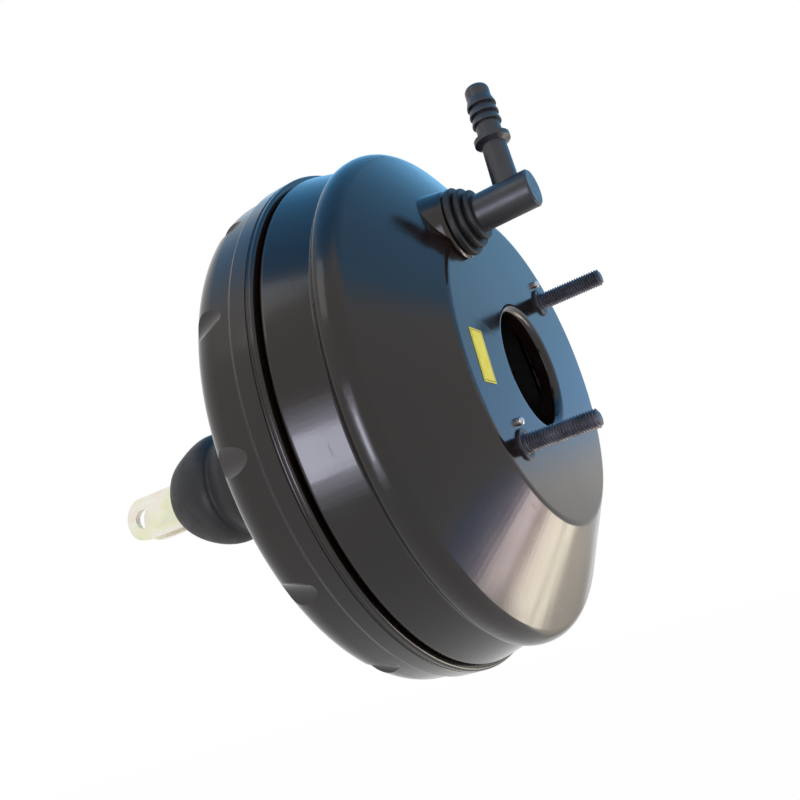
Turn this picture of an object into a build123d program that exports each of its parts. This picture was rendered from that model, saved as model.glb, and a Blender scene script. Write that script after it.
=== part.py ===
from build123d import *
import math
import os

# Vacuum brake booster with its check valve, push rod and clevis, in millimetres.
# X runs forward along the booster's axis and Z is up.
# The origin is the centre of the rear mounting face.

os.makedirs("parts", exist_ok=True)

# Housing sheet and overall stations along the axis
shell_sheet = 2.0
face_x = 106.0
rim_front_x = 48.2
rim_rear_x = 37.0
rear_wall_x = 12.0

# Crimped rim, where the rear shell is rolled over the front shell's flange
rim_radius = 118.5
rim_lip_depth = 6.3
rim_corner = 1.2
rim_step = 1.5
rim_step_round = 1.0
rim_groove_radius = 0.8
rim_groove_x = 45.4
rim_groove_offset = 0.1
crimp_clearance = 0.4

# Front shell, whose bead stands just in front of the rim
skirt_radius = 111.2
skirt_round = 0.8
bead_gap = 0.5
bead_radius = 116.8
bead_round = 2.2
barrel_front_radius = 111.0
shoulder_rear_x = 70.0
shoulder_run = 2.5
shoulder_rise = 2.8
shoulder_rear_round = 1.5
shoulder_front_round = 2.5
cone_corner_x = 80.5
cone_corner_radius = 114.4
cone_corner_round = 9.0
face_radius = 71.0
face_round = 5.0
pilot_radius = 26.0
pilot_depth = 8.0
pilot_round = 3.5

# Rear shell with its pressed lobes
lobe_radius = 117.0
lobe_count = 13
lobe_first_angle = 135.0
valley_radius = 8.0
valley_depth = 6.5
valley_margin = 4.0
rear_corner_round = 14.0
rear_flat_radius = 92.0
plateau_radius = 74.0
neck_radius = 25.0
neck_length = 20.0
plateau_round = 5.0
neck_round = 2.5

# Boss for the check valve, on the edge of the front face
valve_distance = 70.4
valve_angle = 124.0
boss_radius = 15.0
boss_height = 1.5
boss_hole_radius = 9.5
boss_round = 3.0
boss_spread = 0.2

# Studs and the plate that carries the front pair
stud_radius = 4.0
stud_shoulder_radius = 4.5
stud_hole_clearance = 0.1
stud_head_radius = 6.5
stud_head_height = 3.0
front_stud_distance = 54.0
front_stud_angle = 45.0
front_stud_reach = 32.0
rear_stud_spacing = 75.0
rear_stud_reach = 21.0
stud_tip_chamfer = 0.8
stud_plate_thickness = 2.0
stud_plate_radius = 66.0
stud_plate_bore = 31.0

# Push-on rings that hold the front studs, and the clinch pip beside each
ring_chamfer = 0.3
ring_radius = 6.6
ring_thickness = 1.2
pip_radius = 1.8
pip_height = 2.6
pip_round = 1.4
pip_distance = 9.4

# Grommet and check valve
grommet_flange_radii = (14.75, 13.0, 10.8)
grommet_flange_thicknesses = (3.0, 2.4, 2.4)
grommet_groove_depth = 1.8
grommet_groove_width = 0.9
grommet_inner_radius = 12.0
grommet_inner_thickness = 3.4
grommet_lead_in = 1.0
grommet_round = 0.8
spigot_radius = 6.8
spigot_overhang = 3.0
fit_gap = 0.05
barrel_radius = 8.0
barrel_reach = 36.0
barrel_bore = 5.5
barrel_end_wall = 3.0
barrel_chamfer = 0.8
nipple_setback = 10.5
pipe_radius = 5.2
pipe_flare = 0.5
pipe_bore = 3.0
collar_radius = 7.6
collar_height = 27.0
collar_thickness = 4.4
collar_half_edge = 1.0
barb_radius = 6.2
barb_height = 3.8
barb_first_height = 34.5
barb_pitch = 4.1
barb_count = 3
barb_land = 0.8
nipple_length = 52.6
nipple_tip_round = 2.6
check_disc_radius = 4.9
check_disc_thickness = 2.0
check_seat_bore = 3.2
check_seat_thickness = 2.0
check_spring_wire = 0.6
check_spring_radius = 3.6
check_spring_turns = 5
check_spring_clearance = 0.4
check_spring_ledge = 1.0

# Boot over the neck and the valve body's tail
boot_wall = 1.8
boot_end_x = -93.0
boot_mouth_radius = 14.6
boot_front_x = -3.0
boot_fold_radius = 29.5
boot_fold_groove = 26.6
boot_fold_pitch = 14.5
boot_dome_x = -77.0
boot_dome_run = 6.5
boot_dome_drop = 3.0
boot_end_width = 4.5
boot_fold_count = 3
boot_fold_lead = 1.0
boot_cuff_run = 3.0
boot_round = 2.0

# Power piston: valve body, plate and diaphragm
body_radius = 19.5
body_wall = 3.0
body_tail_x = -64.0
body_web_x = 4.0
body_front_x = 44.0
hub_radius = 21.9
hub_flange_radius = 32.0
hub_flange_x = 21.2
hub_flange_thickness = 3.5
hub_cone_run = 6.0
hub_flange_edge = 4.0
disc_recess_radius = 14.2
disc_recess_depth = 8.0
vacuum_port_radius = 2.0
vacuum_seat_radius = 12.9
vacuum_seat_width = 1.4
plate_sheet = 1.5
plate_inner_flat = 50.0
plate_step = 9.0
plate_step_run = 12.0
plate_outer_flat = 88.0
plate_rim_radius = 97.0
plate_round = 3.0
diaphragm_thickness = 2.0
diaphragm_bead_width = 5.4
diaphragm_bead_inner = 110.2
diaphragm_roll_radius = 104.5
diaphragm_roll_round = 2.5
diaphragm_bead_overlap = 1.0
seat_thickness = 1.2
seat_outer_radius = 39.0
seat_rim_height = 3.0
seat_rim_inner = 37.6

# Control valve
plunger_radius = 8.0
running_gap = 0.05
plunger_flange_radius = 10.6
plunger_flange_thickness = 3.0
plunger_rear_x = -3.0
plunger_neck_radius = 4.5
key_x = 12.0
key_thickness = 2.9
key_width = 9.0
key_reach = 22.0
key_clearance = 0.3
valve_travel = 2.0
ball_radius = 5.5
ball_x = 4.0
ball_gap = 0.1
socket_mouth_radius = 4.7
poppet_gap = 0.3
poppet_thickness = 3.0
poppet_outer_radius = 14.4
poppet_inner_radius = 7.6
poppet_wall = 1.2
poppet_step = 0.7
poppet_step_run = 1.0
poppet_length = 19.0
poppet_flange_thickness = 2.0
retainer_wall = 1.1
retainer_length = 12.0
retainer_flange_radius = 9.9
retainer_gap = 0.1

# Push rod, its springs and the clevis
rod_neck_radius = 3.2
rod_neck_length = 16.0
rod_radius = 4.5
rod_seat_x = -41.2
rod_shoulder_radius = 6.0
rod_shoulder_length = 2.0
rod_thread_radius = 4.0
rod_thread_x = -66.0
rod_end_x = -88.0
rod_taper_run = 2.0
rod_washer_radius = 14.3
rod_washer_thickness = 1.2
filter_front_x = -47.0
filter_rear_x = -61.0
filter_bore = 7.6
clevis_base_x = -81.5
clevis_sheet = 3.2
clevis_gap = 9.0
clevis_width = 22.6
clevis_hole_radius = 5.1
clevis_hole_x = -125.0
clevis_bend_round = 2.5
nut_across_flats = 13.0
nut_height = 6.3
nut_chamfer = 0.6

# Output side
reaction_disc_radius = 13.9
reaction_disc_thickness = 5.0
output_cup_radius = 13.9
output_cup_thickness = 4.0
output_rod_radius = 6.0
output_rod_end_x = 84.0
output_screw_radius = 3.5
output_tip_x = 95.0
output_screw_flats = 8.0
output_screw_head = 4.0
output_tip_round = 2.8
output_screw_engagement = 12.0
return_spring_wire = 3.2
return_spring_radius = 34.5
return_spring_turns = 5
poppet_spring_wire = 1.0
poppet_spring_radius = 11.0
poppet_spring_turns = 4
rod_spring_wire = 1.4
rod_spring_radius = 12.6
rod_spring_turns = 4
seat_gap = 0.3

# Neck seal, guide bush and retaining ring
seal_length = 7.0
seal_outer_lip = 1.0
seal_inner_lip = 1.2
bush_length = 9.0
bush_gap = 0.04
neck_ring_thickness = 1.2
neck_ring_radius = 21.0

# Face label, left bare
label_length = 22.4
label_width = 11.0
label_thickness = 0.3
label_distance = 54.6
label_angle = 183.0

# Places that follow from the sizes above
neck_bore = neck_radius - shell_sheet
flange_x = rim_front_x - shell_sheet - crimp_clearance
rim_inner_radius = rim_radius - shell_sheet
lip_radius = rim_radius - rim_lip_depth
boss_top_x = face_x + boss_height
valve_y = valve_distance * math.cos(math.radians(valve_angle))
valve_z = valve_distance * math.sin(math.radians(valve_angle))
barrel_end_x = face_x + barrel_reach
nipple_x = barrel_end_x - nipple_setback
plate_front_x = hub_flange_x + hub_flange_thickness + diaphragm_thickness + plate_sheet
spring_rear_x = plate_front_x + seat_thickness
ring_top_x = face_x + ring_thickness
stud_plate_front_x = face_x - shell_sheet
stud_plate_rear_x = stud_plate_front_x - stud_plate_thickness
body_bore = body_radius - body_wall
recess_floor_x = body_front_x - disc_recess_depth
plunger_nose_x = recess_floor_x - valve_travel - key_clearance
disc_front_x = recess_floor_x + reaction_disc_thickness
poppet_front_x = plunger_rear_x - poppet_gap
poppet_rear_x = poppet_front_x - poppet_length
retainer_front_x = poppet_rear_x
retainer_face_x = retainer_front_x - retainer_wall
valve_axis = Axis((0, valve_y, valve_z), (1, 0, 0))
stud_places = [
    (front_stud_distance * math.cos(math.radians(a)), front_stud_distance * math.sin(math.radians(a)))
    for a in (front_stud_angle, front_stud_angle + 180)
]


def coil(radius, wire, turns, start_x, end_x):
    """Sweep a round wire along a helix between two seats on the booster's axis."""
    height = end_x - start_x - wire
    with BuildPart() as body:
        with BuildLine():
            path = Helix(
                pitch=height / turns, height=height, radius=radius,
                center=(start_x + wire / 2, 0, 0), direction=(1, 0, 0),
            )
        with BuildSketch(Plane(origin=path @ 0, z_dir=path % 0)):
            Circle(wire / 2)
        sweep(path=path, is_frenet=True)
    return body


def boss_cone(top_x, radius):
    """Revolve a round block for the valve boss, which widens backwards from its top."""
    length = boss_height + boss_radius
    with BuildPart() as body:
        with BuildSketch(Plane.XZ.offset(-valve_y)):
            with BuildLine():
                Polyline(
                    (top_x, valve_z),
                    (top_x, valve_z + radius),
                    (top_x - length, valve_z + radius + length * boss_spread),
                    (top_x - length, valve_z),
                    close=True,
                )
            make_face()
        revolve(axis=valve_axis)
    return body


def make_front_shell():
    outline = [
        (flange_x, rim_inner_radius - crimp_clearance),
        (flange_x, skirt_radius),
        (rim_front_x + bead_gap, skirt_radius),
        (rim_front_x + bead_gap, bead_radius),
        (shoulder_rear_x, barrel_front_radius),
        (shoulder_rear_x + shoulder_run, barrel_front_radius + shoulder_rise),
        (cone_corner_x, cone_corner_radius),
        (face_x, face_radius),
        (face_x, pilot_radius),
        (face_x - pilot_depth, pilot_radius),
    ]
    rounds = [skirt_round, skirt_round, bead_round, shoulder_rear_round, shoulder_front_round]
    rounds += [cone_corner_round, face_round, pilot_round]
    with BuildPart() as skin:
        with BuildSketch(Plane.XZ):
            with BuildLine():
                FilletPolyline(*outline, radius=rounds)
                offset(amount=shell_sheet, side=Side.LEFT, closed=True)
            make_face()
        revolve(axis=Axis.X)

    # The space behind the sheet, which trims the foot of the valve boss
    with BuildPart() as hollow:
        with BuildSketch(Plane.XZ):
            with BuildLine():
                edge = FilletPolyline(*outline[3:-1], radius=rounds[3:-1])
                Polyline(edge @ 1, (face_x, 0), (rim_front_x + bead_gap, 0), edge @ 0)
            make_face()
        revolve(axis=Axis.X)
        add(skin.part, mode=Mode.SUBTRACT)
    hollow_body = hollow.solids().sort_by(SortBy.VOLUME)[-1]

    with BuildPart() as boss:
        add(boss_cone(boss_top_x, boss_radius).part)
        fillet(boss.faces().sort_by(Axis.X)[-1].edges(), boss_round)
        add(hollow_body, mode=Mode.SUBTRACT)

    with BuildPart() as front_shell:
        add(skin.part)
        add(boss.part)
        add(boss_cone(boss_top_x - shell_sheet, boss_radius - shell_sheet).part, mode=Mode.SUBTRACT)
        with BuildSketch(Plane.YZ.offset(boss_top_x)):
            with Locations((valve_y, valve_z)):
                Circle(boss_hole_radius)
        extrude(amount=-2 * shell_sheet, mode=Mode.SUBTRACT)
        with BuildSketch(Plane.YZ.offset(face_x)):
            with Locations(*stud_places):
                Circle(stud_shoulder_radius + stud_hole_clearance)
        extrude(amount=-2 * shell_sheet, mode=Mode.SUBTRACT)
    front_shell.part.label = "front_shell"
    export_step(front_shell.part, "parts/front_shell.step")


def make_rear_shell():
    outline = [
        (rim_front_x, lip_radius),
        (rim_front_x, rim_radius),
        (rim_rear_x, rim_radius),
        (rim_rear_x - rim_step, lobe_radius),
        (rear_wall_x, lobe_radius),
        (rear_wall_x, rear_flat_radius),
        (0, plateau_radius),
        (0, neck_radius),
        (-neck_length, neck_radius),
    ]
    rounds = [rim_corner, rim_step_round, rim_step_round, rear_corner_round]
    rounds += [plateau_round, plateau_round, neck_round]
    with BuildPart() as skin:
        with BuildSketch(Plane.XZ):
            with BuildLine():
                FilletPolyline(*outline, radius=rounds)
                offset(amount=shell_sheet, side=Side.LEFT, closed=True)
            make_face()
        revolve(axis=Axis.X)

    # Solid block inside the outer skin, which bounds the troughs between the lobes
    with BuildPart() as block:
        with BuildSketch(Plane.XZ):
            with BuildLine():
                edge = FilletPolyline(*outline[3:7], radius=rounds[3:5])
                Polyline(edge @ 1, (0, 0), (rim_rear_x - rim_step, 0), edge @ 0)
            make_face()
        revolve(axis=Axis.X)

    # A valley is a slanted round scoop, deepest at the rear corner
    valley_start_x = rim_rear_x - rim_step - valley_margin
    way = Vector(rear_wall_x - valley_start_x, 0, -valley_depth).normalized()
    lift = Vector(way.Z, 0, -way.X) * valley_radius
    scoop_plane = Plane(origin=Vector(valley_start_x, 0, lobe_radius) + lift, x_dir=(0, 1, 0), z_dir=way)
    scoop_length = 2 * (valley_start_x - rear_wall_x)
    with BuildPart() as trough:
        with BuildSketch(scoop_plane):
            Circle(valley_radius + shell_sheet)
        extrude(amount=scoop_length)
        add(block.part, mode=Mode.INTERSECT)
    with BuildPart() as scoop:
        with BuildSketch(scoop_plane):
            Circle(valley_radius)
        extrude(amount=scoop_length)

    with BuildPart() as rear_shell:
        add(skin.part)
        lobe_turns = [lobe_first_angle - 90 + i * 360 / lobe_count for i in range(lobe_count)]
        for turn in lobe_turns:
            add(trough.part.rotate(Axis.X, turn))
        for turn in lobe_turns:
            add(scoop.part.rotate(Axis.X, turn), mode=Mode.SUBTRACT)
        with BuildSketch(Plane.XZ):
            with Locations((rim_groove_x, rim_radius + rim_groove_offset)):
                Circle(rim_groove_radius)
        revolve(axis=Axis.X, mode=Mode.SUBTRACT)
        with BuildSketch(Plane.YZ):
            with GridLocations(rear_stud_spacing, rear_stud_spacing, 2, 2):
                Circle(stud_shoulder_radius + stud_hole_clearance)
        extrude(amount=2 * shell_sheet, mode=Mode.SUBTRACT)
    rear_shell.part.label = "rear_shell"
    export_step(rear_shell.part, "parts/rear_shell.step")


def make_studs():
    with BuildPart() as master_cylinder_studs:
        with BuildSketch(Plane.YZ.offset(stud_plate_rear_x - stud_head_height)):
            with Locations(*stud_places):
                RegularPolygon(stud_head_radius, 6, major_radius=False)
        extrude(amount=stud_head_height)
        with BuildSketch(Plane.YZ.offset(stud_plate_rear_x)):
            with Locations(*stud_places):
                Circle(stud_shoulder_radius)
        extrude(amount=ring_top_x - stud_plate_rear_x)
        with BuildSketch(Plane.YZ.offset(ring_top_x)):
            with Locations(*stud_places):
                Circle(stud_radius)
        extrude(amount=face_x + front_stud_reach - ring_top_x)
        chamfer(master_cylinder_studs.faces().group_by(Axis.X)[-1].edges(), stud_tip_chamfer)
    master_cylinder_studs.part.label = "master_cylinder_studs"
    export_step(master_cylinder_studs.part, "parts/master_cylinder_studs.step")

    with BuildPart() as stud_plate:
        with BuildSketch(Plane.YZ.offset(stud_plate_rear_x)):
            Circle(stud_plate_radius)
            Circle(stud_plate_bore, mode=Mode.SUBTRACT)
            with Locations(*stud_places):
                Circle(stud_shoulder_radius + stud_hole_clearance, mode=Mode.SUBTRACT)
            with Locations((valve_y, valve_z)):
                Circle(boss_radius + seat_gap, mode=Mode.SUBTRACT)
        extrude(amount=stud_plate_thickness)
    stud_plate.part.label = "stud_plate"
    export_step(stud_plate.part, "parts/stud_plate.step")

    with BuildPart() as stud_rings:
        with BuildSketch(Plane.YZ.offset(face_x)):
            with Locations(*stud_places):
                Circle(ring_radius)
                Circle(stud_shoulder_radius + stud_hole_clearance, mode=Mode.SUBTRACT)
        extrude(amount=ring_thickness)
        chamfer(stud_rings.faces().group_by(Axis.X)[-1].edges(), ring_chamfer)
    stud_rings.part.label = "stud_rings"
    export_step(stud_rings.part, "parts/stud_rings.step")

    pip_places = [(y, z + pip_distance) for y, z in stud_places]
    with BuildPart() as face_pips:
        with BuildSketch(Plane.YZ.offset(face_x)):
            with Locations(*pip_places):
                Circle(pip_radius)
        extrude(amount=pip_height)
        fillet(face_pips.faces().group_by(Axis.X)[-1].edges(), pip_round)
    face_pips.part.label = "face_pips"
    export_step(face_pips.part, "parts/face_pips.step")

    with BuildPart() as bulkhead_studs:
        with BuildSketch(Plane.YZ.offset(shell_sheet)):
            with GridLocations(rear_stud_spacing, rear_stud_spacing, 2, 2):
                RegularPolygon(stud_head_radius, 6, major_radius=False)
        extrude(amount=stud_head_height)
        with BuildSketch(Plane.YZ.offset(shell_sheet)):
            with GridLocations(rear_stud_spacing, rear_stud_spacing, 2, 2):
                Circle(stud_shoulder_radius)
        extrude(amount=-shell_sheet)
        with BuildSketch(Plane.YZ):
            with GridLocations(rear_stud_spacing, rear_stud_spacing, 2, 2):
                Circle(stud_radius)
        extrude(amount=-rear_stud_reach)
        chamfer(bulkhead_studs.faces().group_by(Axis.X)[0].edges(), stud_tip_chamfer)
    bulkhead_studs.part.label = "bulkhead_studs"
    export_step(bulkhead_studs.part, "parts/bulkhead_studs.step")


def make_neck_parts():
    seal_rear_x = -seal_length
    with BuildPart() as neck_seal:
        with BuildSketch(Plane.XZ):
            with BuildLine():
                Polyline(
                    (seal_rear_x, body_radius + bush_gap),
                    (seal_rear_x, neck_bore),
                    (0, neck_bore),
                    (0, neck_bore - seal_outer_lip),
                    (seal_rear_x / 2, body_radius + seal_inner_lip),
                    (0, body_radius + bush_gap),
                    close=True,
                )
            make_face()
        revolve(axis=Axis.X)
    neck_seal.part.label = "neck_seal"
    export_step(neck_seal.part, "parts/neck_seal.step")

    with BuildPart() as guide_bush:
        with BuildSketch(Plane.YZ.offset(seal_rear_x)):
            Circle(neck_bore)
            Circle(body_radius + bush_gap, mode=Mode.SUBTRACT)
        extrude(amount=-bush_length)
    guide_bush.part.label = "guide_bush"
    export_step(guide_bush.part, "parts/guide_bush.step")

    with BuildPart() as neck_ring:
        with BuildSketch(Plane.YZ.offset(seal_rear_x - bush_length)):
            Circle(neck_bore)
            Circle(neck_ring_radius, mode=Mode.SUBTRACT)
        extrude(amount=-neck_ring_thickness)
    neck_ring.part.label = "neck_ring"
    export_step(neck_ring.part, "parts/neck_ring.step")


def make_grommet():
    neck = boss_hole_radius - fit_gap
    bore = spigot_radius
    x = boss_top_x
    points = [(x - shell_sheet - grommet_inner_thickness, bore)]
    points += [(x - shell_sheet - grommet_inner_thickness, neck + grommet_lead_in)]
    points += [(x - shell_sheet, grommet_inner_radius), (x - shell_sheet, neck), (x, neck)]
    flanges = list(zip(grommet_flange_radii, grommet_flange_thicknesses))
    for index, (radius, thickness) in enumerate(flanges):
        points += [(x, radius), (x + thickness, radius)]
        x += thickness
        if index + 1 < len(flanges):
            groove = min(radius, flanges[index + 1][0]) - grommet_groove_depth
            points += [(x, groove), (x + grommet_groove_width, groove)]
            x += grommet_groove_width
    grommet_end_x = x
    points += [(grommet_end_x, bore)]
    with BuildPart() as check_valve_grommet:
        with BuildSketch(Plane.XZ.offset(-valve_y)):
            with BuildLine():
                Polyline(*[(px, valve_z + pr) for px, pr in points], close=True)
            make_face()
        revolve(axis=valve_axis)
        rims = check_valve_grommet.edges().filter_by(GeomType.CIRCLE)
        rims = [e for e in rims if any(abs(e.radius - r) < 0.01 for r in grommet_flange_radii)]
        fillet(rims, grommet_round)
    check_valve_grommet.part.label = "check_valve_grommet"
    export_step(check_valve_grommet.part, "parts/check_valve_grommet.step")
    return grommet_end_x


def make_check_valve(grommet_end_x):
    spigot_rear_x = boss_top_x - shell_sheet - grommet_inner_thickness - spigot_overhang
    bore_end_x = barrel_end_x - barrel_end_wall
    centre = (valve_y, valve_z)
    with BuildPart() as check_valve_body:
        with BuildSketch(Plane.YZ.offset(spigot_rear_x)):
            with Locations(centre):
                Circle(spigot_radius - fit_gap)
        extrude(amount=barrel_end_x - spigot_rear_x)
        with BuildSketch(Plane.YZ.offset(grommet_end_x + fit_gap)):
            with Locations(centre):
                Circle(barrel_radius)
        extrude(amount=barrel_end_x - grommet_end_x - fit_gap)
        chamfer(check_valve_body.faces().sort_by(Axis.X)[-1].edges(), barrel_chamfer)
        barb_tops = [barb_first_height + i * barb_pitch for i in range(barb_count)]
        with BuildSketch(Plane.XZ.offset(-valve_y)):
            with BuildLine():
                points = [(0, 0), (pipe_radius + pipe_flare, 0)]
                points += [(pipe_radius, collar_height - collar_thickness / 2)]
                points += [(collar_radius, collar_height - collar_half_edge)]
                points += [(collar_radius, collar_height + collar_half_edge)]
                points += [(pipe_radius, collar_height + collar_thickness / 2)]
                for top in barb_tops:
                    points += [(pipe_radius, top), (barb_radius, top), (barb_radius, top + barb_land)]
                    points += [(pipe_radius, top + barb_height)]
                points += [(pipe_radius, nipple_length), (0, nipple_length)]
                Polyline(*[(nipple_x + r, valve_z + h) for r, h in points], close=True)
            make_face()
        revolve(axis=Axis((nipple_x, valve_y, valve_z), (0, 0, 1)))
        fillet(check_valve_body.faces().sort_by(Axis.Z)[-1].edges(), nipple_tip_round)
        with BuildSketch(Plane.YZ.offset(spigot_rear_x)):
            with Locations(centre):
                Circle(barrel_bore)
        extrude(amount=bore_end_x - spigot_rear_x, mode=Mode.SUBTRACT)
        with BuildSketch(Plane((nipple_x, valve_y, valve_z))):
            Circle(pipe_bore)
        extrude(amount=nipple_length, mode=Mode.SUBTRACT)
    check_valve_body.part.label = "check_valve_body"
    export_step(check_valve_body.part, "parts/check_valve_body.step")

    with BuildPart() as check_valve_seat:
        with BuildSketch(Plane.YZ.offset(spigot_rear_x)):
            with Locations(centre):
                Circle(barrel_bore)
                Circle(check_seat_bore, mode=Mode.SUBTRACT)
        extrude(amount=check_seat_thickness)
    check_valve_seat.part.label = "check_valve_seat"
    export_step(check_valve_seat.part, "parts/check_valve_seat.step")

    disc_x = spigot_rear_x + check_seat_thickness + running_gap
    with BuildPart() as check_valve_disc:
        with BuildSketch(Plane.YZ.offset(disc_x)):
            with Locations(centre):
                Circle(check_disc_radius)
        extrude(amount=check_disc_thickness)
        with BuildSketch(Plane.YZ.offset(disc_x + check_disc_thickness)):
            with Locations(centre):
                Circle(check_spring_radius - check_spring_wire / 2 - check_spring_clearance)
        extrude(amount=check_disc_thickness)
    check_valve_disc.part.label = "check_valve_disc"
    export_step(check_valve_disc.part, "parts/check_valve_disc.step")

    spring_start = disc_x + check_disc_thickness
    spring_end = nipple_x - pipe_bore - check_spring_ledge
    check_spring = coil(check_spring_radius, check_spring_wire, check_spring_turns, spring_start, spring_end)
    with BuildPart() as check_valve_spring:
        add(check_spring.part.moved(Location((0, valve_y, valve_z))))
    check_valve_spring.part.label = "check_valve_spring"
    export_step(check_valve_spring.part, "parts/check_valve_spring.step")


def make_boot():
    first_fold = boot_dome_x + boot_fold_pitch / 2
    outline = [(boot_end_x, boot_mouth_radius), (boot_end_x, boot_mouth_radius + boot_end_width)]
    outline += [(boot_end_x + boot_dome_run, boot_fold_radius - boot_dome_drop)]
    outline += [(boot_dome_x, boot_fold_radius)]
    for fold in range(boot_fold_count):
        x = first_fold + fold * boot_fold_pitch
        outline += [(x + boot_fold_lead, boot_fold_radius), (x + boot_fold_pitch / 2, boot_fold_groove)]
    cuff = neck_radius + seat_gap + boot_wall
    outline += [(-neck_length - boot_cuff_run, cuff), (boot_front_x, cuff)]
    with BuildPart() as boot:
        with BuildSketch(Plane.XZ):
            with BuildLine():
                FilletPolyline(*outline, radius=boot_round)
                offset(amount=boot_wall, side=Side.RIGHT, closed=True)
            make_face()
        revolve(axis=Axis.X)
    boot.part.label = "boot"
    export_step(boot.part, "parts/boot.step")


def make_valve_body():
    flange_front = hub_flange_x + hub_flange_thickness
    points = [
        (body_tail_x, body_bore),
        (body_tail_x, body_radius),
        (hub_flange_x - hub_cone_run, body_radius),
        (hub_flange_x, hub_flange_radius - hub_flange_edge),
        (hub_flange_x, hub_flange_radius),
        (flange_front, hub_flange_radius),
        (flange_front, hub_radius),
        (body_front_x, hub_radius),
        (body_front_x, disc_recess_radius),
        (recess_floor_x, disc_recess_radius),
        (recess_floor_x, plunger_radius + running_gap),
        (body_web_x, plunger_radius + running_gap),
        (body_web_x, vacuum_seat_radius - vacuum_seat_width / 2),
        (plunger_rear_x, vacuum_seat_radius - vacuum_seat_width / 2),
        (plunger_rear_x, vacuum_seat_radius + vacuum_seat_width / 2),
        (body_web_x, vacuum_seat_radius + vacuum_seat_width / 2),
        (body_web_x, body_bore),
    ]
    with BuildPart() as valve_body:
        with BuildSketch(Plane.XZ):
            with BuildLine():
                Polyline(*points, close=True)
            make_face()
        revolve(axis=Axis.X)
        port_centre = (vacuum_seat_radius + hub_radius) / 2
        with BuildSketch(Plane.YZ.offset(body_web_x)):
            with PolarLocations(port_centre, 2):
                Circle(vacuum_port_radius)
        extrude(amount=body_front_x - body_web_x, mode=Mode.SUBTRACT)
        slot_x = key_x + key_thickness / 2
        with BuildSketch(Plane((slot_x, 0, 0))):
            Rectangle(key_thickness + 2 * running_gap, key_width + 2 * running_gap)
        extrude(amount=hub_flange_radius, mode=Mode.SUBTRACT)
    valve_body.part.label = "valve_body"
    export_step(valve_body.part, "parts/valve_body.step")

    with BuildPart() as valve_key:
        with BuildSketch(Plane((slot_x, 0, plunger_neck_radius + key_clearance))):
            Rectangle(key_thickness, key_width)
        extrude(amount=key_reach - plunger_neck_radius - key_clearance)
    valve_key.part.label = "valve_key"
    export_step(valve_key.part, "parts/valve_key.step")


def make_plate_and_diaphragm():
    inner_x = plate_front_x
    step_x = plate_front_x - plate_step
    bore = hub_radius + running_gap
    plate_line = [
        (inner_x, bore),
        (inner_x, plate_inner_flat),
        (step_x, plate_inner_flat + plate_step_run),
        (step_x, plate_outer_flat),
        (step_x + plate_step, plate_rim_radius),
    ]
    with BuildPart() as diaphragm_plate:
        with BuildSketch(Plane.XZ):
            with BuildLine():
                FilletPolyline(*plate_line, radius=plate_round)
                offset(amount=plate_sheet, side=Side.LEFT, closed=True)
            make_face()
        revolve(axis=Axis.X)
    diaphragm_plate.part.label = "diaphragm_plate"
    export_step(diaphragm_plate.part, "parts/diaphragm_plate.step")

    bead_front_x = flange_x - shell_sheet
    bead_rear_x = bead_front_x - diaphragm_bead_width
    bead_middle_radius = (diaphragm_bead_inner + rim_inner_radius) / 2
    rim_way = Vector(plate_step, plate_rim_radius - plate_outer_flat).normalized()
    rim_end = Vector(inner_x, plate_rim_radius) + Vector(-rim_way.Y, rim_way.X) * plate_sheet
    roll_x = rim_end.X + (diaphragm_roll_radius - rim_end.Y) * rim_way.X / rim_way.Y
    hang_x = bead_front_x - diaphragm_bead_width / 2
    roll_line = [
        rim_end - rim_way,
        (roll_x, diaphragm_roll_radius),
        (hang_x, diaphragm_roll_radius),
        (hang_x, diaphragm_bead_inner + diaphragm_bead_overlap),
    ]
    with BuildPart() as diaphragm:
        with BuildSketch(Plane.XZ):
            with BuildLine():
                FilletPolyline(*plate_line, radius=plate_round)
                offset(amount=plate_sheet + diaphragm_thickness, side=Side.LEFT, closed=True)
            make_face()
            with BuildLine():
                FilletPolyline(*plate_line, radius=plate_round)
                offset(amount=plate_sheet, side=Side.LEFT, closed=True)
            make_face(mode=Mode.SUBTRACT)
            with BuildLine():
                FilletPolyline(*roll_line, radius=diaphragm_roll_round)
                offset(amount=diaphragm_thickness, side=Side.LEFT, closed=True)
            make_face()
            with Locations((bead_rear_x + diaphragm_bead_width / 2, bead_middle_radius)):
                Rectangle(diaphragm_bead_width, rim_inner_radius - diaphragm_bead_inner)
        revolve(axis=Axis.X)
    diaphragm.part.label = "diaphragm"
    export_step(diaphragm.part, "parts/diaphragm.step")

    with BuildPart() as spring_seat:
        with BuildSketch(Plane.YZ.offset(plate_front_x)):
            Circle(seat_outer_radius)
            Circle(bore, mode=Mode.SUBTRACT)
        extrude(amount=seat_thickness)
        with BuildSketch(Plane.YZ.offset(plate_front_x)):
            Circle(seat_outer_radius)
            Circle(seat_rim_inner, mode=Mode.SUBTRACT)
        extrude(amount=seat_thickness + seat_rim_height)
    spring_seat.part.label = "spring_seat"
    export_step(spring_seat.part, "parts/spring_seat.step")


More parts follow.
